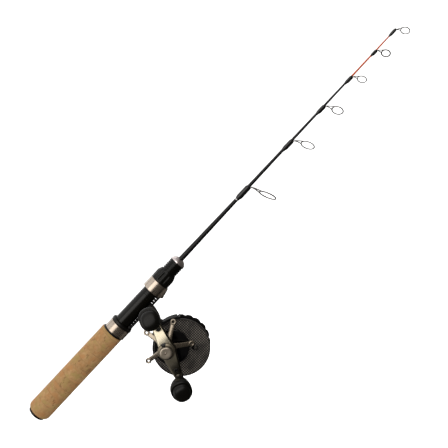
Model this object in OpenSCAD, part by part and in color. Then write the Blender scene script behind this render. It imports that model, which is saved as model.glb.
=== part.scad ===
// Ice fishing rod with a mounted inline reel.
// The rod lies along +X, from the butt cap's end face at x = 0 to the tip ring.
// +Z is up, the guides and the reel hang below the rod, and the crank is on the -Y side.

/* [Handle] */
// Length of the cork grip
cork_len = 124; // [110:1:140]
// Radius of the cork grip
cork_r = 13.6; // [12.5:0.1:14.5]
// Thickness of the butt cap outside the cork
butt_cap_len = 3; // [2:0.5:5]
// Radius of the butt cap
butt_cap_r = 10.4; // [7:0.1:11]

/* [Reel seat] */
// Radius of the seat barrel and the crest of its thread
barrel_r = 9.1; // [8.6:0.1:9.6]
// Length of the seat, from the cork to the winding check
seat_len = 108; // [104:1:112]
// Outer radius of both hoods
hood_r = 11.4; // [11:0.1:12]
// Length of the fixed hood's metal sleeve
fixed_hood_len = 10.6; // [9:0.1:12]
// Length of the sliding hood
slide_hood_len = 13.4; // [12:0.1:15]
// Length of the lock nut
lock_nut_len = 15; // [12:0.5:18]
// Travel of the sliding hood away from the reel foot
hood_travel = 12; // [8:1:12]
// Pitch of the seat's thread
thread_pitch = 2.5; // [2:0.5:2.5]

/* [Blank] */
// Radius of the blank where it leaves the winding check
blank_root_r = 3.15; // [2.8:0.05:3.4]
// Radius of the blank at its far end
blank_end_r = 0.75; // [0.5:0.05:0.8]
// Distance from the butt to the end of the tip-top's tube
blank_end_x = 598; // [590:1:610]
// Radius of the guides' wire
guide_wire_r = 0.42; // [0.35:0.01:0.5]

/* [Reel] */
// Radius of the reel's side plate, over its bezel
plate_r = 32.6; // [31:0.1:34]
// Distance from the rod's axis down to the spool's axis
spool_drop = 67.8; // [66:0.1:70]
// Distance from the butt to the spool's axis
spool_x = 169.3; // [166:0.1:172]
// Radius of the spool's drum
drum_r = 17; // [15:0.5:19]
// Number of scallops round the palming rim
scallops = 20; // [16:1:30]
// Teeth on the drive gear
drive_teeth = 40; // [40]
// Teeth on the pinion
pinion_teeth = 14; // [14]
// Module of the gears
gear_module = 0.6; // [0.6]

/* [Crank] */
// Distance from the crank's axis to each knob pin
arm_reach = 34; // [30:1:36]
// Radius of the crank arm's bow
bow_r = 82; // [76:1:100]
// Turn of the crank arm from the rod's direction
arm_angle = 66.3; // [0:0.1:90]
// Radius of the star drag, to the centres of its tip holes
star_r = 27; // [24:0.5:28]
// Turn of the star drag
star_angle = 28.6; // [0:0.1:72]
// Length of each knob
knob_len = 29; // [26:1:30]

/* [Hidden] */
$fn = 64;
eps = 0.01;
run_gap = 0.05;

// Handle and seat stations along X
cork_x0 = butt_cap_len;
cork_x1 = cork_x0 + cork_len;
trim_x1 = cork_x1 + 1.6;
seat_x0 = cork_x1;
seat_x1 = seat_x0 + seat_len;
fixed_hood_x0 = trim_x1;
fixed_hood_x1 = fixed_hood_x0 + fixed_hood_len;
cushion_x1 = fixed_hood_x1 + 4.2;
slide_x0 = seat_x0 + 64.8;
slide_x1 = slide_x0 + slide_hood_len;
nut_x0 = slide_x1 + 0.1;
nut_x1 = nut_x0 + lock_nut_len;
check_x1 = seat_x1 + 6;

// The blank's outside radius, as stations of [x, radius]
butt_r = 3.8;
blank_x0 = 24;
splice_x = 522;
blank_line = [
    [blank_x0, butt_r],
    [check_x1, blank_root_r],
    [332, 2.2],
    [450, 1.5],
    [blank_end_x, blank_end_r]
];
function blank_radius(x) = lookup(x, blank_line);

// Guides, from the butt end to the tip-top: ring centres, radii and turns
ring_x = [361.3, 434, 486, 530.6, 570.7, 604.5];
ring_drop = [22.7, 17, 14.8, 10.9, 10.5, 9];
ring_r = [10.4, 8.1, 6.75, 5.7, 5.2, 5.7];
ring_turn = [12.5, 21, 28, 27, 31, 25];
ring_lean = 18;
wrap_x0 = [334, 410, 466.4, 513.4, 556.4];
wrap_x1 = [354.4, 426.3, 479.9, 525.3, 565.8];
insert_r = 0.3;
guides = len(wrap_x0);

// Foot of the reel under the barrel
foot_x0 = fixed_hood_x0 + 2;
foot_x1 = slide_x0 + 7;
foot_top = -barrel_r - 2.1;
foot_thick = 1.6;
foot_w = 8;
foot_bottom = foot_top - foot_thick;
stem_x0 = 158.5;
stem_x1 = 180.2;
stem_half_y = 4.5;

// Reel axes, as [x, z]
gear_distance = gear_module * (drive_teeth + pinion_teeth) / 2 + 0.05;
gear_line = 116.9;
spool_c = [spool_x, -spool_drop];
crank_c = spool_c + gear_distance * [cos(gear_line), sin(gear_line)];
cover_c = spool_c + 10.93 * [cos(124.6), sin(124.6)];
cover_r = 19.8;
cover_wall = 1.35;
// Depths forward of the rod's plane, towards the crank
frame_f0 = 8.6;
frame_f1 = 11;
plate_f1 = 13;
cover_f1 = 17;
chamber_f0 = 9.4;
chamber_f1 = 15.6;
collar_f1 = 19.5;
star_f0 = 20.6;
star_f1 = 27;
arm_f1 = 42;
arm_thick = 2.6;
nut_f1 = 51;
shaft_r = 3;
spindle_r = 2;
knob_tilt = 19.6;
arm_end_f = arm_f1 - bow_r + sqrt(bow_r * bow_r - arm_reach * arm_reach);
arm_hole_at = 24.5;

// Spool depths
flange_r = 30.4;
flange_f0 = 5.6;
flange_f1 = 7;
drum_f0 = -6;
rim_f0 = -10.6;
rim_r = 33.2;
hub_tube_r = 7;
bearing_r = 5;
click_teeth = 28;
click_r = 13;
click_at = 16.3;
click_angle = -49;
click_travel = 2.4;

// A profile of [radius, x] turned about the rod's axis
module turned(points) {
    rotate([0, 90, 0])
        rotate_extrude()
            polygon(points);
}

// A cylinder along the rod's axis
module bar(x0, x1, r) {
    translate([x0, 0, 0])
        rotate([0, 90, 0])
            cylinder(h = x1 - x0, r = r);
}

// A section drawn in the YZ plane and pulled along X
module pulled(x0, x1) {
    translate([x0, 0, 0])
        rotate([90, 0, 90])
            linear_extrude(x1 - x0)
                children();
}

// Children drawn in the XZ plane about a reel axis, with local +Z pointing forward
module reel_at(c) {
    translate([c[0], 0, c[1]])
        rotate([90, 0, 0])
            children();
}

// A disc between two forward depths
module disc(f0, f1, r) {
    translate([0, 0, f0])
        cylinder(h = f1 - f0, r = r);
}

// A washer between two forward depths
module ring(f0, f1, r1, r0) {
    difference() {
        disc(f0, f1, r1);
        disc(f0 - 1, f1 + 1, r0);
    }
}

// A straight wire
module wire(p, q, r) {
    d = q - p;
    translate(p)
        rotate([0, acos(d[2] / norm(d)), atan2(d[1], d[0])])
            cylinder(h = norm(d), r = r);
}

/* Handle */

module butt_cap() {
    plug_r = 4.6;
    plug_len = 16;
    round_r = 1.2;
    color("#141414")
        turned([
            [0, 0],
            [butt_cap_r - round_r, 0],
            [butt_cap_r - 0.35 * round_r, 0.3 * round_r],
            [butt_cap_r, round_r],
            [butt_cap_r, butt_cap_len],
            [plug_r, butt_cap_len],
            [plug_r, plug_len],
            [0, plug_len]
        ]);
}

module cork_grip() {
    plug_bore_r = 4.6;
    bore_r = butt_r + 0.02;
    plug_bore_x1 = 20;
    end_len = 4;
    end_steps = 8;
    round_end = [
        for (k = [0 : end_steps])
            [butt_cap_r + (cork_r - butt_cap_r) * sin(90 * k / end_steps),
             cork_x0 + end_len * (1 - cos(90 * k / end_steps))]
    ];
    color("#c69a62")
        turned(concat(
            [[bore_r, plug_bore_x1], [plug_bore_r, plug_bore_x1], [plug_bore_r, cork_x0]],
            round_end,
            [[cork_r, cork_x1 - 0.6], [cork_r - 0.6, cork_x1], [bore_r, cork_x1]]
        ));
}

module cork_top_ring() {
    color("#161616")
        turned([
            [barrel_r, cork_x1],
            [cork_r - 0.8, cork_x1],
            [hood_r + 0.3, trim_x1],
            [barrel_r, trim_x1]
        ]);
}

// Ring section with a pocket lobe below it
module hood_section(r, drop, half_w, corner) {
    circle(r);
    translate([-half_w, -drop + corner])
        square([2 * half_w, drop - corner]);
    translate([-half_w + corner, -drop])
        square([2 * (half_w - corner), drop]);
    for (side = [-1, 1])
        translate([side * (half_w - corner), -drop + corner])
            circle(corner);
}

module foot_slot(x0, x1) {
    translate([x0, -foot_w / 2 - 0.2, foot_bottom - 0.15])
        cube([x1 - x0, foot_w + 0.4, barrel_r - 4]);
}

module fixed_hood() {
    color("#b9b2a6")
        difference() {
            pulled(fixed_hood_x0, fixed_hood_x1)
                hood_section(hood_r, 14.1, 6.6, 2.4);
            bar(fixed_hood_x0 - 1, fixed_hood_x1 + 1, barrel_r);
            foot_slot(foot_x0 - 0.2, fixed_hood_x1 + 1);
        }
}

module hood_cushion() {
    bead_r = 11.7;
    color("#171717")
        difference() {
            union() {
                turned([
                    [barrel_r, fixed_hood_x1],
                    [bead_r - 0.5, fixed_hood_x1],
                    [bead_r, fixed_hood_x1 + 0.9],
                    [bead_r, fixed_hood_x1 + 2.4],
                    [bead_r - 0.8, fixed_hood_x1 + 3.3],
                    [barrel_r + 0.4, cushion_x1],
                    [barrel_r, cushion_x1]
                ]);
                pulled(fixed_hood_x1, cushion_x1)
                    hood_section(barrel_r + 0.3, 14.3, 6.9, 2.4);
            }
            bar(fixed_hood_x1 - 1, cushion_x1 + 1, barrel_r);
            foot_slot(fixed_hood_x1 - 1, cushion_x1 + 1);
        }
}

module seat_barrel() {
    thread_x0 = slide_x0 + 2;
    turns = floor((seat_x1 - thread_x0 - 1) / thread_pitch);
    groove = 0.75;
    color("#1b1b1c")
        difference() {
            bar(seat_x0, seat_x1, barrel_r);
            bar(seat_x0 - 1, seat_x1 + 1, 6.2);
            for (k = [0 : turns - 1])
                translate([thread_x0 + k * thread_pitch, 0, 0])
                    turned([
                        [barrel_r - groove, 0.3],
                        [barrel_r - groove, 0.7],
                        [barrel_r + 0.1, 1.25],
                        [barrel_r + 0.1, -0.25]
                    ]);
            for (x = [slide_x0 - 6.4, slide_x0 - 4.3, slide_x0 - 2.2])
                translate([x, 0, 0])
                    turned([
                        [barrel_r - 0.3, 0],
                        [barrel_r - 0.3, 0.5],
                        [barrel_r + 0.1, 0.7],
                        [barrel_r + 0.1, -0.2]
                    ]);
        }
}

module sliding_hood() {
    lobe = 15.2;
    slope = 11;
    mouth_lean = 24;
    color("#b9b2a6")
        difference() {
            pulled(slide_x0, slide_x1)
                hood_section(hood_r, lobe, 6.9, 3.4);
            bar(slide_x0 - 1, slide_x1 + 1, barrel_r + run_gap);
            translate([slide_x0, -foot_w / 2 - 0.4, foot_bottom - 0.3])
                mirror([1, 0, 0])
                    translate([-(foot_x1 - slide_x0) - 0.4, 0, 0])
                        cube([foot_x1 - slide_x0 + 2, foot_w + 0.8, barrel_r - 4]);
            translate([slide_x0, -20, -lobe])
                rotate([0, -slope, 0])
                    translate([-5, 0, -20])
                        cube([45, 40, 20]);
            translate([slide_x0, -20, -9.6])
                rotate([0, -mouth_lean, 0])
                    translate([-20, 0, -20])
                        cube([20, 40, 20]);
        }
}

module lock_nut() {
    flutes = 12;
    flute_r = 1.5;
    color("#191919")
        difference() {
            turned([
                [barrel_r + run_gap, nut_x0],
                [hood_r - 0.7, nut_x0],
                [hood_r, nut_x0 + 0.8],
                [hood_r, nut_x0 + 10.2],
                [hood_r - 0.5, nut_x0 + 11.6],
                [barrel_r + 0.9, nut_x1 - 1.2],
                [barrel_r + 0.6, nut_x1],
                [barrel_r + run_gap, nut_x1]
            ]);
            for (k = [0 : flutes - 1])
                rotate([360 * k / flutes, 0, 0])
                    translate([nut_x0 + 1.6, 0, hood_r + flute_r - 0.75])
                        rotate([0, 90, 0])
                            cylinder(h = lock_nut_len, r = flute_r);
        }
}

module winding_check() {
    color("#cfc6c2")
        turned([
            [blank_root_r + 0.02, seat_x1],
            [barrel_r - 0.1, seat_x1],
            [barrel_r - 0.2, seat_x1 + 1.2],
            [7.6, seat_x1 + 3.2],
            [5.6, seat_x1 + 4.9],
            [blank_root_r + 0.7, check_x1],
            [blank_root_r + 0.02, check_x1]
        ]);
}

module seat_arbors() {
    arbor_len = 20;
    arbor_r = 6.2;
    color("#8a7a58")
        for (x = [seat_x0 + 4, seat_x0 + 44, seat_x1 - arbor_len - 4])
            difference() {
                bar(x, x + arbor_len, arbor_r);
                blank_body(blank_x0, seat_x1 + 10);
            }
}

/* Blank */

// The blank's outside between two stations
module blank_body(x0, x1) {
    inside = [for (s = blank_line) if (s[0] > x0 && s[0] < x1) s];
    turned(concat(
        [[0, x0], [blank_radius(x0), x0]],
        [for (s = inside) [s[1], s[0]]],
        [[blank_radius(x1), x1], [0, x1]]
    ));
}

module rod_blank() {
    wall = 0.45;
    bore_x1 = splice_x - 30;
    color("#101012")
        difference() {
            blank_body(blank_x0, splice_x);
            turned([
                [0, blank_x0 - 1],
                [butt_r - 1.2, blank_x0 - 1],
                [blank_root_r - 0.9, check_x1],
                [blank_radius(bore_x1) - wall, bore_x1],
                [blank_radius(splice_x) - wall, splice_x + 1],
                [0, splice_x + 1]
            ]);
        }
}

module rod_tip() {
    spigot = 14;
    spigot_r = blank_radius(splice_x) - 0.47;
    color("#e2561f") {
        blank_body(splice_x, blank_end_x - 1);
        bar(splice_x - spigot, splice_x + 0.5, spigot_r);
    }
}

/* Guides */

function lean_point(a) = [
    -sin(a) * sin(ring_lean),
    cos(a),
    sin(a) * cos(ring_lean)
];
function turn_point(p, t) = [
    p[0] * cos(t) - p[1] * sin(t),
    p[0] * sin(t) + p[1] * cos(t),
    p[2]
];
function ring_centre(i) = [ring_x[i], 0, -ring_drop[i]];
function ring_point(i, a) = ring_centre(i) + ring_r[i] * turn_point(lean_point(a), ring_turn[i]);

// A torus in the plane of ring i
module ring_loop(i, r, wire_r) {
    translate(ring_centre(i))
        rotate([0, 0, ring_turn[i]])
            rotate([0, -ring_lean, 0])
                rotate([0, 90, 0])
                    rotate_extrude()
                        translate([r, 0])
                            circle(wire_r, $fn = 24);
}

function foot_z(i) = -blank_radius(wrap_x0[i]) - guide_wire_r - 0.03;

module guide_foot(i) {
    for (side = [-1, 1])
        wire([wrap_x0[i] + 3, side * 0.46, foot_z(i)],
             [wrap_x1[i] + 0.4, side * 0.46, foot_z(i)], guide_wire_r);
}

module guide_frame(i) {
    shoulder = 58;
    leg_r = 0.85 * guide_wire_r;
    color("#b4b4b8") {
        guide_foot(i);
        for (side = [-1, 1]) {
            bend = [wrap_x1[i] + 0.4, side * 0.46, foot_z(i)];
            wire(bend, ring_point(i, side < 0 ? 180 - shoulder : shoulder), leg_r);
            translate(bend)
                sphere(guide_wire_r + 0.03);
        }
        ring_loop(i, ring_r[i], guide_wire_r);
    }
}

module tip_top() {
    tube_r = 1.25;
    tube_x0 = 589;
    i = guides;
    color("#b4b4b8") {
        difference() {
            bar(tube_x0, blank_end_x, tube_r);
            blank_body(tube_x0 - 1, blank_end_x - 1);
        }
        for (side = [-1, 1])
            wire([blank_end_x - 0.3, side * 0.5, -0.4],
                 ring_point(i, side < 0 ? 125 : 55), 0.85 * guide_wire_r);
        ring_loop(i, ring_r[i], guide_wire_r);
    }
}

module guide_rings() {
    color("#8f9096")
        for (i = [0 : guides])
            ring_loop(i, ring_r[i] - guide_wire_r - insert_r - 0.02, insert_r);
}

module thread_wrap(i) {
    x0 = wrap_x0[i];
    x1 = wrap_x1[i];
    ramp = min(4, 0.28 * (x1 - x0));
    cover = 0.42;
    top_r = blank_radius(x0) + cover;
    low_r = 1.3 * guide_wire_r + 0.62;
    color("#0e0e0f")
        difference() {
            union() {
                turned([
                    [0, x0],
                    [blank_radius(x0) + 0.08, x0],
                    [top_r, x0 + ramp],
                    [top_r, x1 - 0.5 * ramp],
                    [blank_radius(x1) + 0.1, x1],
                    [0, x1]
                ]);
                translate([0, 0, foot_z(i) + 0.12])
                    turned([
                        [0, x0 + 0.6],
                        [0.3, x0 + 0.6],
                        [low_r, x0 + ramp + 1],
                        [low_r, x1 - 0.6 * ramp],
                        [0.75 * low_r, x1],
                        [0, x1]
                    ]);
            }
            blank_body(x0 - 5, x1 + 5);
            guide_foot(i);
            for (side = [-1, 1])
                translate([x1 + 0.4, side * 0.46, foot_z(i)])
                    sphere(guide_wire_r + 0.03);
        }
}

module trim_wrap() {
    x1 = wrap_x0[0] - 0.1;
    r = blank_radius(x1);
    color("#d6d6da")
        difference() {
            bar(x1 - 1, x1, r + 0.3);
            blank_body(x1 - 10, x1 + 5);
        }
}

/* Reel frame and foot */

module reel_foot() {
    rib_pitch = 3.3;
    rib_w = 1.5;
    rib_half_y = 3.4;
    rib_spans = [[cushion_x1 + 2, stem_x0], [stem_x1 - 1, slide_x0 - 0.5]];
    color("#141414") {
        difference() {
            union() {
                translate([foot_x0, -foot_w / 2, foot_bottom])
                    cube([foot_x1 - foot_x0, foot_w, foot_thick]);
                translate([stem_x0, -foot_w / 2, foot_bottom])
                    cube([stem_x1 - stem_x0, foot_w, -barrel_r - foot_bottom]);
            }
            bar(foot_x0, foot_x1, barrel_r + 0.01);
            foot_screw_shapes();
        }
        for (span = rib_spans)
            for (x = [span[0] : rib_pitch : span[1] - rib_w])
                difference() {
                    translate([x, -rib_half_y, foot_top - eps])
                        cube([rib_w, 2 * rib_half_y, 2.4]);
                    bar(foot_x0, foot_x1, barrel_r + 0.01);
                }
    }
}

module foot_screw_shapes() {
    for (x = [stem_x0 + 5.5, stem_x1 - 6]) {
        translate([x, 0, foot_bottom - 6])
            cylinder(h = 7, r = 1.4);
        translate([x, 0, foot_bottom + 0.9])
            cylinder(h = 1.9, r = 2.4);
    }
}

module foot_screws() {
    color("#6f6f72")
        foot_screw_shapes();
}

// Bar of an arc between two angles, with its own inner and outer radius at each end
module arc_band(a0, a1, r_in, r_out0, r_out1) {
    steps = 20;
    polygon(concat(
        [for (k = [0 : steps])
            let (a = a0 + (a1 - a0) * k / steps, r = r_out0 + (r_out1 - r_out0) * k / steps)
            r * [cos(a), sin(a)]],
        [for (k = [steps : -1 : 0])
            let (a = a0 + (a1 - a0) * k / steps)
            r_in * [cos(a), sin(a)]]
    ));
}

module stem_outline() {
    polygon([
        [stem_x0, foot_bottom],
        [stem_x0 + 0.6, -17],
        [161.2, -21.5],
        [162.4, -26],
        [162, -36],
        [176.4, -36],
        [174.4, -30.5],
        [176, -25],
        [178.6, -21],
        [179.8, -17],
        [stem_x1, foot_bottom]
    ]);
}

module reel_frame() {
    frame_r = 32.4;
    bridge_f0 = -5;
    rib_count = 5;
    color("#101010") {
        difference() {
            union() {
                reel_at(spool_c) {
                    disc(frame_f0, frame_f1, frame_r);
                    translate([0, 0, frame_f0])
                        linear_extrude(frame_f1 - frame_f0)
                            arc_band(45, 117, 31, 34.6, 36.2);
                    translate([0, 0, bridge_f0])
                        linear_extrude(frame_f1 - bridge_f0)
                            arc_band(52, 117, 33.3, 35, 36.2);
                    disc(-5.2, frame_f0 + eps, hub_tube_r);
                }
                reel_at(crank_c)
                    disc(8, frame_f0 + eps, 6.2);
                translate([0, stem_half_y, 0])
                    rotate([90, 0, 0])
                        linear_extrude(2 * stem_half_y)
                            stem_outline();
                for (k = [0 : rib_count - 1])
                    translate([161.8, -stem_half_y - 0.5, -17 - 2.6 * k])
                        cube([13, 2 * stem_half_y + 1, 1.2]);
            }
            reel_at(cover_c) {
                disc(chamber_f0, frame_f1 + 1, cover_r - cover_wall);
                disc(10, frame_f1 + 1, 20.45);
            }
            reel_at(spool_c) {
                disc(-4.5, frame_f1 + 1, bearing_r);
                disc(-6, 0, 3.4);
                click_slot(frame_f0 - 1, frame_f1 + 1, 1.1);
                click_slot(9.5, frame_f1 + 1, 2.75);
                plate_screw_shapes();
            }
            reel_at(crank_c)
                disc(7, frame_f1, 4.6);
            foot_screw_shapes();
        }
        reel_at(crank_c)
            translate(pawl_c)
                disc(chamber_f0 - eps, 11.1, 1.2);
    }
}

module line_guard() {
    guard_angle = 47.5;
    color("#c9c9cc")
        reel_at(spool_c)
            rotate([0, 0, guard_angle])
                translate([33.4, 0, 0]) {
                    disc(-5.2, frame_f0, 0.8);
                    disc(-5.8, -5, 1.1);
                }
}

module side_plate() {
    color("#2b2b2d")
        difference() {
            reel_at(spool_c)
                disc(frame_f1, plate_f1, plate_r - 1.2);
            reel_at(cover_c)
                disc(frame_f1 - 1, plate_f1 + 1, cover_r + 0.03);
            reel_at(spool_c) {
                click_slot(frame_f1 - 1, plate_f1 + 1, 2.25);
                plate_screw_shapes();
            }
        }
}

module plate_bezel() {
    color("#6b6b6e")
        reel_at(spool_c)
            ring(frame_f1, plate_f1 + 0.4, plate_r, plate_r - 1.2);
}

module gear_cover() {
    lip = 1;
    color("#08080a")
        difference() {
            union() {
                reel_at(cover_c)
                    rotate_extrude()
                        polygon([
                            [0, 10],
                            [20.4, 10],
                            [20.4, frame_f1],
                            [cover_r, frame_f1],
                            [cover_r, cover_f1 - 1.4],
                            [cover_r - 0.45, cover_f1 - 0.45],
                            [cover_r - 1.5, cover_f1],
                            [0, cover_f1]
                        ]);
                reel_at(crank_c)
                    disc(cover_f1 - eps, collar_f1, 9);
            }
            reel_at(cover_c)
                disc(9, chamber_f1, cover_r - cover_wall);
            reel_at(crank_c)
                disc(15, collar_f1 + lip, 6.6);
        }
}

module plate_screw_shapes() {
    screw_at = 28.6;
    for (a = [20, 250, 320])
        rotate([0, 0, a])
            translate([screw_at, 0, 0]) {
                disc(frame_f0, 12.2, 1.1);
                translate([0, 0, frame_f0])
                    cylinder(h = 1.2, r1 = 2.2, r2 = 1.1);
            }
}

module plate_screws() {
    color("#55565a")
        reel_at(spool_c)
            plate_screw_shapes();
}

/* Spool */

module spool_arbor() {
    holes = 6;
    color("#1d1d20")
        reel_at(spool_c)
            difference() {
                union() {
                    ring(drum_f0, flange_f0, drum_r, drum_r - 2);
                    disc(-8, drum_f0, drum_r);
                }
                disc(-9, 0, spindle_r);
                for (k = [0 : holes - 1])
                    rotate([0, 0, 360 * k / holes])
                        translate([10.4, 0, -9])
                            cylinder(h = 4, r = 3);
            }
}

module spool_flange() {
    color("#1d1d20")
        reel_at(spool_c)
            ring(flange_f0, flange_f1, flange_r, 9);
}

module palming_rim() {
    notch_r = 3.6;
    color("#0f0f10")
        reel_at(spool_c)
            difference() {
                union() {
                    ring(-7.6, drum_f0, flange_r, drum_r + 0.02);
                    ring(rim_f0, drum_f0, rim_r, flange_r - 3);
                }
                for (k = [0 : scallops - 1])
                    rotate([0, 0, 360 * k / scallops])
                        translate([rim_r + notch_r - 1.2, 0, rim_f0 - 1])
                            cylinder(h = 10, r = notch_r);
            }
}

module click_gear() {
    color("#8d8d90")
        reel_at(spool_c)
            translate([0, 0, flange_f1])
                linear_extrude(0.8)
                    difference() {
                        star_polygon(click_teeth, click_r, click_r - 0.9, click_angle);
                        circle(9);
                    }
}

// A wheel outline with pointed teeth and a gap centred on the given angle
module star_polygon(n, r_tip, r_root, gap_angle) {
    polygon([
        for (k = [0 : 2 * n - 1])
            let (r = k % 2 == 0 ? r_root : r_tip)
            r * [cos(gap_angle + 180 * k / n), sin(gap_angle + 180 * k / n)]
    ]);
}

module spool_shaft() {
    color("#9a9aa0")
        reel_at(spool_c)
            disc(-10.5, 15.2, spindle_r);
}

module spool_cap() {
    flutes = 14;
    color("#242427")
        reel_at(spool_c)
            difference() {
                union() {
                    disc(-12.4, -8, 6.4);
                    disc(-13, -12.4, 5.6);
                }
                disc(-10.5, -7, spindle_r);
                for (k = [0 : flutes - 1])
                    rotate([0, 0, 360 * k / flutes])
                        translate([7, 0, -14])
                            cylinder(h = 5, r = 0.9);
            }
}

module bearing(f0) {
    width = 3.6;
    balls = 7;
    color("#a9abb0") {
        ring(f0, f0 + width, bearing_r, 4.3);
        ring(f0, f0 + width, 2.7, spindle_r + 0.03);
        for (k = [0 : balls - 1])
            rotate([0, 0, 360 * k / balls])
                translate([3.5, 0, f0 + width / 2])
                    sphere(0.79);
    }
}

module bearing_front() {
    reel_at(spool_c)
        bearing(5.6);
}

module bearing_rear() {
    reel_at(spool_c)
        bearing(-4.5);
}

/* Gears */

function involute(a) = tan(a) * 180 / PI - a;

// Half the angle of a tooth at radius r
function half_tooth(teeth, m, r, backlash) =
    let (
        pitch_r = teeth * m / 2,
        base_r = pitch_r * cos(20),
        a = r > base_r ? acos(base_r / r) : 0
    )
    90 / teeth - backlash / pitch_r * 45 / PI + involute(20) - involute(a);

module gear_outline(teeth, m, backlash, phase) {
    pitch_r = teeth * m / 2;
    radii = [
        pitch_r - 1.25 * m,
        max(pitch_r * cos(20), pitch_r - 0.9 * m),
        pitch_r,
        pitch_r + 0.5 * m,
        pitch_r + 0.95 * m
    ];
    polygon([
        for (k = [0 : teeth - 1])
            for (side = [-1, 1])
                for (j = [0 : len(radii) - 1])
                    let (
                        r = radii[side < 0 ? j : len(radii) - 1 - j],
                        a = phase + 360 * k / teeth + side * half_tooth(teeth, m, r, backlash)
                    )
                    r * [cos(a), sin(a)]
    ]);
}

module pinion_gear() {
    color("#c2a050")
        reel_at(spool_c)
            difference() {
                translate([0, 0, 11.2])
                    linear_extrude(3)
                        gear_outline(pinion_teeth, gear_module, 0.16,
                                     gear_line + 180 / pinion_teeth);
                disc(10, 16, spindle_r);
            }
}

module drive_gear() {
    holes = 5;
    color("#c2a050")
        reel_at(crank_c)
            difference() {
                translate([0, 0, 11.5])
                    linear_extrude(2.4)
                        gear_outline(drive_teeth, gear_module, 0.16, gear_line + 180);
                disc(10, 16, shaft_r + run_gap);
            }
}

module main_shaft() {
    color("#a0a0a6")
        reel_at(crank_c) {
            disc(8.1, arm_f1, shaft_r);
            disc(arm_f1, 46.5, 2.4);
        }
}

module shaft_bushes() {
    color("#b08a45")
        reel_at(crank_c) {
            ring(8, chamber_f0, 4.6, shaft_r + 0.03);
            ring(chamber_f1, collar_f1, 6.6, 4.95);
        }
}

/* Anti-reverse */

ratchet_teeth = 12;
ratchet_r = 7.5;
// The pawl's pivot, from the crank's axis
pawl_c = [-10, -7.5];

module ratchet_wheel() {
    root_r = 6;
    color("#7d7f84")
        reel_at(crank_c)
            translate([0, 0, 9.8])
                linear_extrude(1.2)
                    difference() {
                        polygon([
                            for (k = [0 : ratchet_teeth - 1])
                                for (side = [0, 1])
                                    let (
                                        r = side == 0 ? root_r : ratchet_r,
                                        a = 360 * (k + 0.96 * side) / ratchet_teeth
                                    )
                                    r * [cos(a), sin(a)]
                        ]);
                        circle(shaft_r);
                    }
}

module pawl() {
    tip_angle = 73.5;
    color("#7d7f84")
        reel_at(crank_c)
            translate([pawl_c[0], pawl_c[1], 9.8])
                linear_extrude(1)
                    difference() {
                        union() {
                            circle(2.2);
                            rotate([0, 0, tip_angle])
                                polygon([[0, -1.7], [4.5, -0.8], [7.76, -0.1], [7.5, 0.3], [4.5, 0.9], [0, 1.9]]);
                        }
                        circle(1.25);
                    }
}

module pawl_spring() {
    coil_r = 1.6;
    leaf = 0.4;
    color("#b9bbc0")
        reel_at(crank_c)
            translate([pawl_c[0] - 3.6, pawl_c[1] + 4.1, 9.6])
                linear_extrude(1) {
                    difference() {
                        circle(coil_r);
                        circle(coil_r - leaf);
                    }
                    translate([0, coil_r - leaf])
                        square([2.5, leaf]);
                    translate([-coil_r, -2])
                        square([leaf, 2]);
                }
}

/* Drag */

module drag_washers() {
    color("#3a3228")
        reel_at(crank_c) {
            ring(11, 11.5, 9, shaft_r);
            ring(13.9, 14.4, 9, shaft_r);
        }
}

module drag_sleeve() {
    color("#8b8d92")
        reel_at(crank_c) {
            ring(14.4, 15.3, 9, shaft_r);
            ring(15.3 - eps, 20.4, 4.9, shaft_r);
        }
}

module star_drag() {
    arms = 5;
    hub_r = 7.6;
    root_f = 24.2;
    tip_f = 18.7;
    sweep = atan((root_f - tip_f) / (star_r - hub_r));
    arm_len = norm([star_r - hub_r, root_f - tip_f]);
    tip_r = 3.3;
    color("#a39a86")
        reel_at(crank_c)
            difference() {
                union() {
                    disc(star_f0, star_f1, hub_r);
                    for (k = [0 : arms - 1])
                        rotate([0, 0, star_angle + 360 * k / arms])
                            translate([hub_r - 1, 0, root_f])
                                rotate([0, sweep, 0])
                                    translate([0, 0, -1.1])
                                        linear_extrude(2.2) {
                                            polygon([
                                                [-1, -3.2],
                                                [0.3 * arm_len, -2],
                                                [arm_len - 1, -1.7],
                                                [arm_len - 1, 1.7],
                                                [0.3 * arm_len, 2],
                                                [-1, 3.2]
                                            ]);
                                            translate([arm_len + 1, 0])
                                                circle(tip_r);
                                        }
                }
                disc(star_f0 - 1, star_f1 + 1, shaft_r + run_gap);
                for (k = [0 : arms - 1])
                    rotate([0, 0, star_angle + 360 * k / arms])
                        translate([hub_r - 1, 0, root_f])
                            rotate([0, sweep, 0])
                                translate([arm_len + 1, 0, -5])
                                    cylinder(h = 10, r = 1.5);
            }
}

/* Crank */

module crank_collar() {
    color("#17171a")
        reel_at(crank_c)
            ring(star_f1 + 0.4, arm_f1 - arm_thick, 5.6, shaft_r);
}

module arm_outline() {
    end_r = 4.7;
    hub_half = 8.9;
    circle(9.2);
    for (side = [0, 180])
        rotate([0, 0, side]) {
            polygon([[0, -hub_half], [arm_reach, -end_r], [arm_reach, end_r], [0, hub_half]]);
            translate([arm_reach, 0])
                circle(end_r);
        }
}

module crank_arm() {
    color("#b7b3a4")
        reel_at(crank_c)
            rotate([0, 0, arm_angle])
                difference() {
                    intersection() {
                        translate([0, 0, arm_f1 - bow_r])
                            rotate([90, 0, 0])
                                difference() {
                                    cylinder(h = 40, r = bow_r, center = true, $fn = 360);
                                    cylinder(h = 42, r = bow_r - arm_thick, center = true, $fn = 360);
                                }
                        translate([0, 0, arm_f1 - 20])
                            linear_extrude(21)
                                arm_outline();
                    }
                    disc(arm_f1 - 10, arm_f1 + 1, shaft_r);
                    for (side = [-1, 1])
                        translate([side * arm_hole_at, 0, arm_f1 - 20])
                            cylinder(h = 30, r = 2.4);
                    for (side = [0, 180])
                        rotate([0, 0, side])
                            on_tilt()
                                disc(-5, 2, 2);
                }
}

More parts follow.
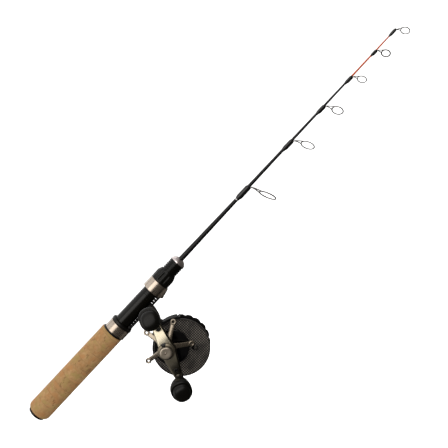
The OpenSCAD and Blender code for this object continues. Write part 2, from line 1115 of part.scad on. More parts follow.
// The knob pin's axis, from the arm's outer face outward
module on_tilt() {
    translate([arm_reach, 0, arm_end_f])
        rotate([0, knob_tilt, 0])
            children();
}

module crank_nut() {
    slot_w = 2.6;
    color("#8c8272")
        reel_at(crank_c)
            difference() {
                rotate_extrude()
                    polygon([
                        [0, arm_f1],
                        [8.9, arm_f1],
                        [8.9, arm_f1 + 1.4],
                        [8.3, arm_f1 + 2.2],
                        [6.9, arm_f1 + 4],
                        [6.5, nut_f1 - 1.2],
                        [6.1, nut_f1 - 0.3],
                        [5.5, nut_f1],
                        [0, nut_f1]
                    ]);
                disc(arm_f1 - 1, 46.6, 2.4);
                disc(nut_f1 - 0.5, nut_f1 + 1, 1.2);
                for (a = [135, 315])
                    rotate([0, 0, a])
                        translate([6.9, -slot_w, arm_f1 + 1])
                            cube([4, 2 * slot_w, 3.2]);
            }
}

module knob_pins() {
    color("#9c9ca2")
        for (side = [0, 180])
            reel_at(crank_c)
                rotate([0, 0, arm_angle + side])
                    on_tilt() {
                        disc(-arm_thick - 0.8, 19, 2);
                        disc(0.5, 1.2, 3.6);
                        disc(19, 20, 3);
                    }
}

module knob(side) {
    base = 1.6;
    top = base + knob_len;
    end_r = 11.4;
    squash = 0.86;
    color("#121212")
        reel_at(crank_c)
            rotate([0, 0, arm_angle + side])
                on_tilt()
                    difference() {
                        hull() {
                            disc(base, base + 1.5, 4.6);
                            for (s = [-1, 1])
                                translate([s * 1.3, 0, top - squash * end_r])
                                    scale([1, 1, squash])
                                        sphere(r = end_r, $fn = 40);
                        }
                        disc(base - 1, 19.2, 2 + run_gap);
                        disc(18.7, 20.3, 3.3);
                    }
}

module knob_1() {
    knob(0);
}

module knob_2() {
    knob(180);
}

/* Clicker */

// A radial slot for the click button, in reel axes
module click_slot(f0, f1, half_w) {
    rotate([0, 0, click_angle]) {
        translate([click_at - click_travel, -half_w, f0])
            cube([click_travel, 2 * half_w, f1 - f0]);
        for (r = [click_at - click_travel, click_at])
            translate([r, 0, f0])
                cylinder(h = f1 - f0, r = half_w);
    }
}

module click_button() {
    color("#2a2a2c")
        reel_at(spool_c)
            rotate([0, 0, click_angle])
                translate([click_at, 0, 0]) {
                    disc(9.7, 15.4, 1.9);
                    disc(15.4, 15.9, 1.5);
                    translate([0, 0, 9.7])
                        cylinder(h = 1.1, r = 2.4);
                    translate([-1, -0.45, 7.3])
                        cube([1.8, 0.9, 2.5]);
                }
}

butt_cap();
cork_grip();
cork_top_ring();
fixed_hood();
hood_cushion();
seat_barrel();
sliding_hood();
lock_nut();
winding_check();
seat_arbors();
rod_blank();
rod_tip();
guide_frame(0);  // guide_frame_1
guide_frame(1);  // guide_frame_2
guide_frame(2);  // guide_frame_3
guide_frame(3);  // guide_frame_4
guide_frame(4);  // guide_frame_5
tip_top();
guide_rings();
thread_wrap(0);  // thread_wrap_1
thread_wrap(1);  // thread_wrap_2
thread_wrap(2);  // thread_wrap_3
thread_wrap(3);  // thread_wrap_4
thread_wrap(4);  // thread_wrap_5
trim_wrap();
reel_foot();
foot_screws();
reel_frame();
line_guard();
side_plate();
plate_bezel();
gear_cover();
plate_screws();
spool_arbor();
spool_flange();
palming_rim();
click_gear();
spool_shaft();
spool_cap();
bearing_front();
bearing_rear();
pinion_gear();
drive_gear();
main_shaft();
shaft_bushes();
ratchet_wheel();
pawl();
pawl_spring();
drag_washers();
drag_sleeve();
star_drag();
crank_collar();
crank_arm();
crank_nut();
knob_pins();
knob_1();
knob_2();
click_button();
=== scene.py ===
"""Looks of the ice fishing rod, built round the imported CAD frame."""
import math

import bmesh
import bpy
from mathutils import Matrix, Vector, noise


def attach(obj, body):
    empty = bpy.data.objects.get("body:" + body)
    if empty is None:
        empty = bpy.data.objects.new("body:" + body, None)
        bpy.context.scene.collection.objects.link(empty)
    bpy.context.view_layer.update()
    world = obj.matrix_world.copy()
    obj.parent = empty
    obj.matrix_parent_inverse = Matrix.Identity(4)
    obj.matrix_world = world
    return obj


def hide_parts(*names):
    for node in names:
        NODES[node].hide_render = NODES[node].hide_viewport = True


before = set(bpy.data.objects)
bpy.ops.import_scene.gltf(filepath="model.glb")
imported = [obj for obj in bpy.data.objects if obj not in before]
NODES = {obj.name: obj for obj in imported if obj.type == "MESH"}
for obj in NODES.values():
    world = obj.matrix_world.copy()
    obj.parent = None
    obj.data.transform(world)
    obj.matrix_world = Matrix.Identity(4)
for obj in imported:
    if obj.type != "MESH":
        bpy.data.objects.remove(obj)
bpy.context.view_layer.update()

MM = 0.001

# ---------------------------------------------------------------- stations, in mm
CORK_X0, CORK_X1, CORK_R = 3.0, 127.0, 13.6
CORK_FIRST_JOINT, CORK_PITCH = 7.0, 13.0
BUTT_R, BUTT_PLUG_R, BUTT_PLUG_X1 = 10.4, 4.6, 16
TRIM_X1 = 128.6
HOOD_X0, HOOD_X1 = 128.6, 139.2
CUSHION_X1 = 143.4
BARREL_R, HOOD_R = 9.1, 11.4
SLIDE_X0, SLIDE_X1 = 191.8, 205.2
NUT_X0, NUT_X1 = 205.3, 220.3
SEAT_X1, CHECK_X1 = 235.0, 241.0
THREAD_X0, THREAD_X1, THREAD_PITCH, THREAD_DEPTH = 194.5, 234.8, 2.5, 0.72
BARREL_RING_X, BARREL_RING_DEPTH = (185.4, 187.5, 189.6), 0.28
NUT_FLUTES, FLUTE_DEPTH = 12, 0.85
BLANK_LINE = [(24, 3.8), (241, 3.15), (332, 2.2), (450, 1.5), (598, 0.75)]
RING_X = [361.3, 434, 486, 530.6, 570.7, 604.5]
RING_DROP = [22.7, 17, 14.8, 10.9, 10.5, 9]
RING_R = [10.4, 8.1, 6.75, 5.4, 5.2, 5.15]
RING_TURN = [12.5, 21, 28, 27, 31, 25]
RING_LEAN = 18
WIRE_R = 0.42
WRAP_X0 = [334, 410, 466.4, 513.4, 556.4]
WRAP_X1 = [354.4, 426.3, 479.9, 525.3, 565.8]
WRAP_COVER = [1.0, 0.65, 0.65, 0.6, 0.45]
WIRE_LOOK = [0.78, 0.64, 0.58, 0.56, 0.56, 0.56]
SPOOL_C = (169.3, -67.8)
GEAR_DISTANCE, GEAR_LINE = 16.25, math.radians(116.9)
CRANK_C = (SPOOL_C[0] + GEAR_DISTANCE * math.cos(GEAR_LINE),
           SPOOL_C[1] + GEAR_DISTANCE * math.sin(GEAR_LINE))
COVER_C = (SPOOL_C[0] + 10.93 * math.cos(math.radians(124.6)),
           SPOOL_C[1] + 10.93 * math.sin(math.radians(124.6)))
ARM_ANGLE, ARM_REACH, ARM_F1, BOW_R = 66.3, 34.0, 42.0, 82.0
ARM_THICK = 2.6
KNOB_TILT = 19.6
ARM_END_F = ARM_F1 - BOW_R + math.sqrt(BOW_R ** 2 - ARM_REACH ** 2)
STAR_ANGLE, STAR_ARMS = 28.6, 5
RIM_R, RIM_LOBES, LOBE_DEPTH = 33.2, 20, 1.25
# SHADED_SIDE_DOT: how far a crank blade face must turn away from the light to get the painted
# shade
RIVET_REACH, SHADED_SIDE_DOT = 24.5, 0.3
SLOT_R, SLOT_F, SLOT_HALF, SLOT_ANGLES = 7.1, 43.0, 17, (64, 244)


def blank_radius(x):
    pts = BLANK_LINE
    if x <= pts[0][0]:
        return pts[0][1]
    for (xa, ra), (xb, rb) in zip(pts, pts[1:]):
        if x <= xb:
            return ra + (rb - ra) * (x - xa) / (xb - xa)
    return pts[-1][1]


def smooth(a, b, x):
    t = min(1.0, max(0.0, (x - a) / (b - a)))
    return t * t * (3 - 2 * t)


def at_reel(c, x, y, f):
    """A point of a reel axis's own frame, in mm: x and y in the plate's plane, f forward."""
    return Vector((c[0] + x, -f, c[1] + y))


# ---------------------------------------------------------------- mesh helpers
def mesh_object(name, verts, faces, sharp_deg=35):
    mesh = bpy.data.meshes.new(name)
    mesh.from_pydata([tuple(Vector(v) * MM) for v in verts], [], faces)
    bm = bmesh.new()
    bm.from_mesh(mesh)
    bmesh.ops.remove_doubles(bm, verts=bm.verts, dist=1e-7)
    bmesh.ops.dissolve_degenerate(bm, edges=bm.edges, dist=1e-7)
    bmesh.ops.recalc_face_normals(bm, faces=bm.faces)
    bm.to_mesh(mesh)
    bm.free()
    mesh.shade_smooth()
    mesh.set_sharp_from_angle(angle=math.radians(sharp_deg))
    obj = bpy.data.objects.new(name, mesh)
    bpy.context.scene.collection.objects.link(obj)
    return obj


def skin(rings, closed=False):
    """Vertices and faces of a skin over rings that have the same number of points.

    An open skin gets a flat cap at each end.
    """
    n, verts, faces = len(rings[0]), [], []
    for ring in rings:
        verts += ring
    last = len(rings) if closed else len(rings) - 1
    for i in range(last):
        a, b = i * n, ((i + 1) % len(rings)) * n
        for j in range(n):
            k = (j + 1) % n
            faces.append((a + j, a + k, b + k, b + j))
    if not closed:
        faces.append(tuple(range(n))[::-1])
        faces.append(tuple(range((len(rings) - 1) * n, len(rings) * n)))
    return verts, faces


def join(parts):
    verts, faces = [], []
    for v, f in parts:
        base = len(verts)
        verts += list(v)
        faces += [tuple(base + i for i in face) for face in f]
    return verts, faces


def soften(profile, r, steps=4):
    """The profile with its corners rounded by up to r."""
    pts = [Vector((p[0], p[1], 0)) for p in profile]
    out = [pts[0]]
    for a, b, c in zip(pts, pts[1:], pts[2:]):
        da, dc = a - b, c - b
        la, lc = da.length, dc.length
        d = min(r, 0.45 * la, 0.45 * lc)
        p, q = b + da.normalized() * d, b + dc.normalized() * d
        for i in range(steps + 1):
            t = i / steps
            out.append(p * (1 - t) ** 2 + b * 2 * t * (1 - t) + q * t * t)
    out.append(pts[-1])
    return [(p.x, p.y) for p in out]


def lathe_x(profile, n=96, radius=None):
    """A closed ring solid about the rod's axis. profile is (x, r), once round the section."""
    rings = []
    for j in range(n):
        a = 2 * math.pi * j / n
        ring = []
        for x, r in profile:
            rr = r if radius is None else radius(x, r, a)
            ring.append(Vector((x, rr * math.cos(a), rr * math.sin(a))))
        rings.append(ring)
    return skin(rings, closed=True)


def lathe_reel(c, profile, n=96, radius=None):
    """A solid about a reel axis. profile is (r, f), once round or from axis to axis."""
    rings = []
    for j in range(n):
        a = 2 * math.pi * j / n
        ring = []
        for r, f in profile:
            rr = r if radius is None else radius(r, f, a)
            ring.append(at_reel(c, rr * math.cos(a), rr * math.sin(a), f))
        rings.append(ring)
    return skin(rings, closed=True)


def tube(points, r, n=12, closed=False):
    """A round tube along points. r is a radius or a list of radii."""
    pts = [Vector(p) for p in points]
    count = len(pts)
    radii = r if isinstance(r, list) else [r] * count
    tangents = []
    for i in range(count):
        if closed:
            d = pts[(i + 1) % count] - pts[i - 1]
        else:
            d = pts[min(i + 1, count - 1)] - pts[max(i - 1, 0)]
        tangents.append(d.normalized())
    side = tangents[0].orthogonal().normalized()
    rings = []
    for i in range(count):
        t = tangents[i]
        side = (side - t * side.dot(t)).normalized()
        up = t.cross(side)
        rings.append([pts[i] + (side * math.cos(2 * math.pi * j / n)
                                + up * math.sin(2 * math.pi * j / n)) * radii[i]
                      for j in range(n)])
    if not closed:
        for end, sign in ((0, -1), (-1, 1)):
            cap = []
            for k in (0.5, 0.85, 0.99):
                w = math.sqrt(1 - k * k)
                cap.append([pts[end] + tangents[end] * sign * radii[end] * k
                            + (v - pts[end]) * w for v in rings[end]])
            rings = cap[::-1] + rings if end == 0 else rings + cap
    return skin(rings, closed=closed)


def piece(name, geometry, body, material, replaces=(), sharp_deg=35):
    obj = mesh_object(name, geometry[0], geometry[1], sharp_deg)
    obj.data.materials.append(material)
    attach(obj, body)
    if replaces:
        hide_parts(*replaces)
    return obj


# ---------------------------------------------------------------- material helpers
def linear(c):
    return tuple(v / 12.92 if v <= 0.04045 else ((v + 0.055) / 1.055) ** 2.4 for v in c)


def rgb(r, g, b):
    return linear((r / 255, g / 255, b / 255)) + (1.0,)


class Nodes:
    """A short way to wire a material's nodes."""

    def __init__(self, name):
        self.mat = bpy.data.materials.new(name)
        self.mat.use_nodes = True
        self.tree = self.mat.node_tree
        self.bsdf = self.tree.nodes["Principled BSDF"]
        self.coord = self.tree.nodes.new("ShaderNodeTexCoord").outputs["Object"]

    def link(self, a, b):
        self.tree.links.new(a, b)

    def set(self, **values):
        for key, value in values.items():
            self.bsdf.inputs[key.replace("_", " ")].default_value = value

    def new(self, kind, **inputs):
        node = self.tree.nodes.new(kind)
        for key, value in inputs.items():
            socket = node.inputs[int(key[1:])] if key[0] == "i" and key[1:].isdigit() \
                else node.inputs[key.replace("_", " ")]
            if isinstance(value, bpy.types.NodeSocket):
                self.link(value, socket)
            else:
                socket.default_value = value
        return node

    def math(self, op, a, b=0.0):
        node = self.tree.nodes.new("ShaderNodeMath")
        node.operation = op
        for i, v in enumerate((a, b)):
            if isinstance(v, bpy.types.NodeSocket):
                self.link(v, node.inputs[i])
            else:
                node.inputs[i].default_value = v
        return node.outputs[0]

    def mapped(self, scale=(1, 1, 1), rotation=(0, 0, 0)):
        return self.new("ShaderNodeMapping", Vector=self.coord, Scale=scale,
                        Rotation=rotation).outputs[0]

    def noise(self, scale, detail=3.0, rough=0.5, vector=None):
        return self.new("ShaderNodeTexNoise", Vector=vector or self.coord, Scale=scale,
                        Detail=detail, Roughness=rough).outputs["Fac"]

    def ramp(self, fac, stops):
        node = self.tree.nodes.new("ShaderNodeValToRGB")
        self.link(fac, node.inputs[0])
        elements = node.color_ramp.elements
        while len(elements) < len(stops):
            elements.new(0.5)
        for e, (pos, col) in zip(elements, stops):
            e.position = pos
            e.color = col if len(col) == 4 else tuple(col) + (1.0,)
        return node.outputs["Color"]

    def mix(self, fac, a, b, blend="MIX"):
        node = self.tree.nodes.new("ShaderNodeMix")
        node.data_type = "RGBA"
        node.blend_type = blend
        for socket, v in ((node.inputs[0], fac), (node.inputs[6], a), (node.inputs[7], b)):
            if isinstance(v, bpy.types.NodeSocket):
                self.link(v, socket)
            else:
                socket.default_value = v
        return node.outputs[2]

    def range(self, value, lo, hi, a=0.0, b=1.0):
        node = self.new("ShaderNodeMapRange", Value=value, From_Min=lo, From_Max=hi,
                        To_Min=a, To_Max=b)
        return node.outputs[0]

    def bump(self, height, strength, distance, normal=None):
        node = self.new("ShaderNodeBump", Height=height, Strength=strength,
                        Distance=distance)
        if normal is not None:
            self.link(normal, node.inputs["Normal"])
        return node.outputs[0]

    def bevel(self, radius):
        return self.new("ShaderNodeBevel", Radius=radius).outputs[0]

    def colour(self, socket):
        self.link(socket, self.bsdf.inputs["Base Color"])

    def rough(self, socket):
        self.link(socket, self.bsdf.inputs["Roughness"])

    def normal(self, socket):
        self.link(socket, self.bsdf.inputs["Normal"])


def plain(name, dark, light, rough, scale=900, metal=0.0, bump=0.15, depth=0.00004,
          spread=0.08, bevel=0.0, stretch=(1, 1, 1), spec=0.22):
    """A finish with fine grain: two tones, uneven roughness and a fine bump."""
    m = Nodes(name)
    vec = m.mapped(scale=stretch)
    fine = m.noise(scale, 4.0, 0.6, vec)
    broad = m.noise(60, 2.0, 0.5)
    tone = m.math("ADD", m.math("MULTIPLY", fine, 0.55), m.math("MULTIPLY", broad, 0.45))
    m.colour(m.ramp(tone, [(0.35, dark), (0.65, light)]))
    m.rough(m.range(tone, 0.3, 0.7, rough - spread, rough + spread))
    m.set(Metallic=metal, Specular_IOR_Level=spec)
    base = m.bevel(bevel) if bevel else None
    m.normal(m.bump(fine, bump, depth, base))
    return m.mat


# ---------------------------------------------------------------- materials
def cork_material():
    m = Nodes("cork")
    sep = m.new("ShaderNodeSeparateXYZ", Vector=m.coord)
    along = m.math("DIVIDE", m.math("SUBTRACT", sep.outputs[0], CORK_FIRST_JOINT * MM),
                   CORK_PITCH * MM)
    index = m.math("FLOOR", along)
    tint = m.new("ShaderNodeTexWhiteNoise")
    tint.noise_dimensions = "1D"
    m.link(index, tint.inputs["W"])
    frac = m.math("FRACT", along)
    edge = m.math("MINIMUM", frac, m.math("SUBTRACT", 1.0, frac))
    shifted = m.new("ShaderNodeVectorMath", i0=m.coord)
    m.link(m.new("ShaderNodeCombineXYZ", X=0.0, Y=m.math("MULTIPLY", index, 0.037),
                 Z=m.math("MULTIPLY", index, 0.053)).outputs[0], shifted.inputs[1])
    vec = shifted.outputs[0]
    grain = m.noise(330, 6.0, 0.65, vec)
    cloud = m.noise(95, 3.0, 0.55, vec)
    tone = m.math("ADD", m.math("MULTIPLY", grain, 0.55), m.math("MULTIPLY", cloud, 0.45))
    base = m.ramp(tone, [(0.30, rgb(150, 108, 64)), (0.44, rgb(178, 136, 88)),
                         (0.56, rgb(193, 152, 102)), (0.70, rgb(210, 174, 126))])
    patch = m.noise(110, 2.0, 0.5, vec)
    base = m.mix(m.range(patch, 0.52, 0.64, 0.0, 0.75), base, rgb(176, 148, 88))
    base = m.mix(m.range(patch, 0.47, 0.36, 0.0, 0.75), base, rgb(190, 136, 84))
    base = m.mix(m.range(tint.outputs["Value"], 0, 1, 0.0, 0.22), base,
                 rgb(172, 132, 86), "MIX")
    pits = m.new("ShaderNodeTexVoronoi", Vector=vec, Scale=420.0)
    pit_gate = m.noise(210, 2.0, 0.5, vec)
    pit = m.math("MULTIPLY", m.range(pits.outputs["Distance"], 0.16, 0.34, 1.0, 0.0),
                 m.range(pit_gate, 0.61, 0.69, 0.0, 0.8))
    long_vec = m.new("ShaderNodeMapping", Vector=vec, Scale=(0.4, 1.0, 1.0)).outputs[0]
    streak = m.range(m.noise(300, 3.0, 0.6, long_vec), 0.60, 0.68, 0.0, 0.7)
    dark = m.math("MAXIMUM", pit, m.math("MULTIPLY", streak, 0.8))
    base = m.mix(dark, base, rgb(112, 74, 44))
    strong = m.range(tint.outputs["Value"], 0.45, 0.9, 0.25, 1.0)
    glue = m.math("MULTIPLY", m.math("MULTIPLY", m.range(edge, 0.012, 0.036, 1.0, 0.0), strong),
                  m.range(cloud, 0.40, 0.60, 0.1, 0.9))
    base = m.mix(glue, base, rgb(138, 100, 64))
    m.colour(base)
    m.rough(m.range(tone, 0.3, 0.7, 0.62, 0.80))
    m.set(Specular_IOR_Level=0.28)
    height = m.math("SUBTRACT", m.math("MULTIPLY", grain, 0.5), dark)
    height = m.math("SUBTRACT", height, m.math("MULTIPLY", glue, 0.4))
    m.normal(m.bump(height, 0.5, 0.00022))
    return m.mat


def brushed(name, dark, light, rough=0.26, stretch=(60, 1, 1)):
    """Metal with fine turning marks."""
    m = Nodes(name)
    vec = m.mapped(scale=stretch)
    marks = m.noise(160, 5.0, 0.7, vec)
    broad = m.noise(70, 2.0, 0.5)
    m.colour(m.ramp(m.math("ADD", m.math("MULTIPLY", marks, 0.5),
                           m.math("MULTIPLY", broad, 0.5)), [(0.35, dark), (0.65, light)]))
    m.rough(m.range(marks, 0.3, 0.7, rough - 0.05, rough + 0.07))
    m.set(Metallic=1.0)
    m.normal(m.bump(marks, 0.12, 0.00002))
    return m.mat


def weave_material():
    m = Nodes("carbon_weave")
    turned = m.mapped(rotation=(0, math.radians(-47), 0))
    sep = m.new("ShaderNodeSeparateXYZ", Vector=turned)
    cell = 0.0015
    u = m.math("DIVIDE", sep.outputs[0], cell)
    v = m.math("DIVIDE", sep.outputs[2], cell)
    parity = m.math("PINGPONG", m.math("ADD", m.math("FLOOR", u), m.math("FLOOR", v)), 1.0)

    def crown(x):
        d = m.math("SUBTRACT", m.math("MULTIPLY", m.math("FRACT", x), 2.0), 1.0)
        return m.math("SUBTRACT", 1.0, m.math("POWER", m.math("ABSOLUTE", d), 2.4))

    across_u, across_v = crown(u), crown(v)
    warp = m.math("MULTIPLY", across_u, m.math("ADD", m.math("MULTIPLY", across_v, 0.35), 0.65))
    weft = m.math("MULTIPLY", across_v, m.math("ADD", m.math("MULTIPLY", across_u, 0.35), 0.65))
    high = m.math("ADD", m.math("MULTIPLY", parity, warp),
                  m.math("MULTIPLY", m.math("SUBTRACT", 1.0, parity), weft))
    fibre = m.noise(900, 2.0, 0.5, m.new("ShaderNodeMapping", Vector=turned,
                                         Scale=(6.0, 6.0, 0.7)).outputs[0])
    broad = m.noise(75, 2.0, 0.5)
    warp_col = m.ramp(high, [(0.35, rgb(10, 10, 10)), (0.95, rgb(150, 142, 132))])
    weft_col = m.ramp(high, [(0.15, rgb(8, 8, 8)), (0.95, rgb(22, 21, 20))])
    base = m.mix(parity, weft_col, warp_col)
    base = m.mix(m.range(fibre, 0.35, 0.65, 0.0, 0.3), base, rgb(16, 15, 15))
    base = m.mix(m.range(broad, 0.42, 0.62, 0.0, 0.6), base, rgb(18, 17, 17))
    m.colour(base)
    m.rough(m.range(high, 0.0, 1.0, 0.5, 0.30))
    m.set(Coat_Weight=0.1, Coat_Roughness=0.15, Specular_IOR_Level=0.3)
    m.normal(m.bump(high, 0.4, 0.00012))
    return m.mat


def wrap_material():
    m = Nodes("thread_wrap")
    sep = m.new("ShaderNodeSeparateXYZ", Vector=m.coord)
    turns = m.math("FRACT", m.math("DIVIDE", sep.outputs[0], 0.00022))
    ridge = m.math("SUBTRACT", 1.0, m.math("ABSOLUTE", m.math(
        "SUBTRACT", m.math("MULTIPLY", turns, 2.0), 1.0)))
    grain = m.noise(1500, 2.0, 0.5)
    m.colour(m.ramp(m.math("ADD", m.math("MULTIPLY", ridge, 0.5), m.math(
        "MULTIPLY", grain, 0.5)), [(0.3, rgb(5, 5, 6)), (0.8, rgb(16, 16, 17))]))
    m.rough(m.range(grain, 0.3, 0.7, 0.30, 0.42))
    m.set(Coat_Weight=0.35, Coat_Roughness=0.06, Specular_IOR_Level=0.3)
    m.normal(m.bump(ridge, 0.12, 0.00004))
    return m.mat


def tip_material():
    m = Nodes("orange_tip")
    vec = m.mapped(scale=(0.25, 1, 1))
    fibre = m.noise(900, 3.0, 0.6, vec)
    broad = m.noise(40, 2.0, 0.5)
    m.colour(m.ramp(m.math("ADD", m.math("MULTIPLY", fibre, 0.5), m.math(
        "MULTIPLY", broad, 0.5)), [(0.35, rgb(190, 66, 14)), (0.65, rgb(218, 92, 26))]))
    m.rough(m.range(fibre, 0.3, 0.7, 0.28, 0.38))
    m.set(Coat_Weight=0.2, Coat_Roughness=0.08, Specular_IOR_Level=0.3)
    m.normal(m.bump(fibre, 0.1, 0.00002))
    return m.mat


M = {
    "cork": cork_material(),
    "cap": plain("butt_cap_black", rgb(7, 5, 3), rgb(15, 12, 9), 0.5, 700, spec=0.12),
    "ring": plain("trim_ring_black", rgb(9, 8, 7), rgb(20, 18, 16), 0.4, 800),
    "hood": brushed("hood_metal", rgb(160, 147, 135), rgb(182, 170, 157), 0.24),
    "cushion": plain("hood_cushion_black", rgb(8, 7, 6), rgb(17, 15, 12), 0.36, 700, spec=0.22),
    "barrel": plain("seat_black", rgb(5, 4, 1), rgb(11, 9, 5), 0.22, 1200, bump=0.08,
                    spread=0.03, spec=0.22),
    "nut": plain("lock_nut_black", rgb(6, 5, 3), rgb(14, 12, 8), 0.28, 900, spec=0.18),
    "check": brushed("winding_check_metal", rgb(196, 184, 182), rgb(220, 210, 208), 0.2),
    "blank": plain("blank_black", rgb(8, 8, 9), rgb(18, 18, 20), 0.30, 1400,
                   stretch=(0.15, 1, 1)),
    "tip": tip_material(),
    "wire": plain("guide_wire_metal", rgb(84, 82, 82), rgb(122, 119, 118), 0.30, 1800,
                  metal=1.0, bump=0.08, depth=0.00001),
    "insert": plain("guide_insert_grey", rgb(30, 30, 31), rgb(56, 56, 58), 0.28, 1500,
                    metal=0.6, bump=0.06, depth=0.00001),
    "wrap": wrap_material(),
    "trim": plain("trim_wrap_silver", rgb(170, 168, 170), rgb(216, 214, 216), 0.3, 1800,
                  metal=0.8),
    "frame": plain("frame_black", rgb(5, 5, 5), rgb(12, 11, 11), 0.50, 1000,
                   bevel=0.0003, spec=0.12),
    "weave": weave_material(),
    "bezel": plain("bezel_dark", rgb(30, 28, 27), rgb(60, 56, 53), 0.34, 1000, metal=0.3,
                   bevel=0.0002),
    "cover": plain("cover_black", rgb(2, 2, 3), rgb(5, 5, 7), 0.12, 500, bump=0.03,
                   depth=0.00001, spread=0.03, spec=0.25),
    "rim": plain("palming_rim_black", rgb(5, 5, 5), rgb(12, 11, 11), 0.45, 900, spec=0.12),
    "spool": plain("spool_black", rgb(16, 16, 18), rgb(34, 34, 37), 0.30, 900, metal=0.7,
                   bevel=0.0003, stretch=(1, 20, 1)),
    "steel": plain("machined_steel", rgb(110, 110, 114), rgb(160, 160, 164), 0.30, 1200,
                   metal=1.0, bevel=0.00015),
    "brass": plain("gear_brass", rgb(150, 112, 54), rgb(196, 156, 84), 0.3, 1200,
                   metal=1.0, bevel=0.0001),
    "star": brushed("star_metal", rgb(122, 112, 98), rgb(160, 149, 134), 0.25,
                    stretch=(1, 30, 1)),
    "arm": brushed("arm_metal", rgb(168, 160, 140), rgb(192, 184, 165), 0.20,
                   stretch=(1, 8, 1)),
    # painted shade: a dark metal for the crank blade's side that turns away from the light
    "arm_painted_shade": brushed("arm_side_painted_shade", rgb(44, 41, 34), rgb(66, 62, 52), 0.3),
    "nut_ring": plain("nut_ring_metal", rgb(88, 81, 69), rgb(124, 116, 101), 0.34, 1200,
                      metal=0.9, bevel=0.0002),
    "crank_cap": plain("crank_cap_metal", rgb(140, 130, 117), rgb(178, 167, 152), 0.36, 1200,
                       metal=0.9, bevel=0.0003),
    "collar": plain("collar_dark", rgb(9, 8, 8), rgb(22, 21, 20), 0.34, 900, metal=0.2,
                    bevel=0.0002, spec=0.3),
    "button": plain("button_metal", rgb(60, 58, 56), rgb(104, 100, 96), 0.16, 900, metal=1.0,
                    bump=0.05, depth=0.00001, bevel=0.0005),
    "knob": plain("knob_soft_black", rgb(6, 5, 3), rgb(13, 11, 7), 0.36, 1600,
                  bump=0.2, depth=0.00002, spread=0.05, spec=0.17),
    "arbor": plain("arbor_foam", rgb(90, 78, 56), rgb(130, 114, 84), 0.8, 500, bump=0.5,
                   depth=0.0002),
    "drag": plain("drag_leather", rgb(40, 32, 24), rgb(72, 58, 44), 0.7, 700, bump=0.4,
                  depth=0.0001),
}

NODE_LOOK = {
    "seat_arbors": "arbor", "rod_blank": "blank", "rod_tip": "tip", "guide_rings": "insert",
    "trim_wrap": "trim", "reel_foot": "frame", "foot_screws": "steel", "reel_frame": "frame",
    "line_guard": "wire", "side_plate": "weave", "plate_bezel": "bezel",
    "plate_screws": "steel", "spool_arbor": "spool", "spool_flange": "spool",
    "click_gear": "steel", "spool_shaft": "steel", "spool_cap": "spool",
    "bearing_front": "steel", "bearing_rear": "steel", "pinion_gear": "brass",
    "drive_gear": "brass", "main_shaft": "steel", "shaft_bushes": "brass",
    "ratchet_wheel": "steel", "pawl": "steel", "pawl_spring": "steel",
    "drag_washers": "drag", "drag_sleeve": "steel", "crank_collar": "collar",
    "knob_pins": "steel", "click_button": "button",
}
for node, look in NODE_LOOK.items():
    mesh = NODES[node].data
    mesh.materials.clear()
    mesh.materials.append(M[look])

# ---------------------------------------------------------------- camera
ROLL, FOCAL_PX, FRAME_PX, SENSOR = math.radians(-46.96), 554.6, 448, 36.0
back = Vector((0.00525, -0.99695, 0.07781)).normalized()
right0 = Vector((0, 0, 1)).cross(back).normalized()
up0 = back.cross(right0)
cam_right = right0 * math.cos(ROLL) + up0 * math.sin(ROLL)
cam_up = up0 * math.cos(ROLL) - right0 * math.sin(ROLL)
cam_data = bpy.data.cameras.new("camera")
cam_data.sensor_width = SENSOR
cam_data.lens = FOCAL_PX / FRAME_PX * SENSOR
cam_data.clip_start = 0.01
camera = bpy.data.objects.new("camera", cam_data)
camera.matrix_world = Matrix.Translation(Vector((0.3068, -0.6293, 0.0405))) @ Matrix(
    (cam_right, cam_up, back)).transposed().to_4x4()
bpy.context.scene.collection.objects.link(camera)
bpy.context.scene.camera = camera

# ---------------------------------------------------------------- handle
BODY = "rod"


def closed_profile(outer, inner_r):
    """An (x, r) section: the outer line, then back along the bore."""
    return outer + [(outer[-1][0], inner_r), (outer[0][0], inner_r)]


def cork_radius(x, r, a):
    """The grip's radius, with fine grain, pits and a groove at each cork ring's joint."""
    if r < CORK_R * 0.6:
        return r
    p = Vector((x * 0.9, math.cos(a) * 11, math.sin(a) * 11))
    grain = noise.noise(p * 0.55)
    pit = max(0.0, noise.noise(p * 0.9 + Vector((7, 3, 1))) - 0.38)
    along = (x - CORK_FIRST_JOINT) / CORK_PITCH
    edge = abs(along - round(along)) * CORK_PITCH
    groove = 0.10 * max(0.0, 1 - edge / 0.35)
    return r + 0.04 * grain - 0.55 * pit - groove - 0.06


cork_outer = [(CORK_X0 + 4 * (1 - math.cos(math.radians(a))),
               BUTT_R + (CORK_R - BUTT_R) * math.sin(math.radians(a)))
              for a in range(0, 91, 9)]
cork_outer += [(x * 0.45 + 7.2, CORK_R) for x in range(1, 264)]
cork_outer += [(CORK_X1 - 0.5, CORK_R - 0.12), (CORK_X1 - 0.2, CORK_R - 0.35),
               (CORK_X1, CORK_R - 0.7)]
piece("cork_body", lathe_x(closed_profile(cork_outer, 3.9), 144, cork_radius), BODY,
      M["cork"], ["cork_grip"], 60)

cap_outer = soften([(0, 4.0), (0, BUTT_R), (CORK_X0, BUTT_R), (CORK_X0, BUTT_PLUG_R)],
                   0.9, 6)
piece("butt_button", lathe_x([(0, 0.001)] + cap_outer
                             + [(BUTT_PLUG_X1, BUTT_PLUG_R), (BUTT_PLUG_X1, 0.001)], 96),
      BODY, M["cap"], ["butt_cap"])

piece("cork_end_ring", lathe_x(soften([
    (CORK_X1, BARREL_R), (CORK_X1, CORK_R - 0.8), (CORK_X1 + 0.5, CORK_R - 0.9),
    (TRIM_X1, HOOD_R + 0.35),
    (TRIM_X1, BARREL_R)], 0.3), 96), BODY, M["ring"], ["cork_top_ring"])


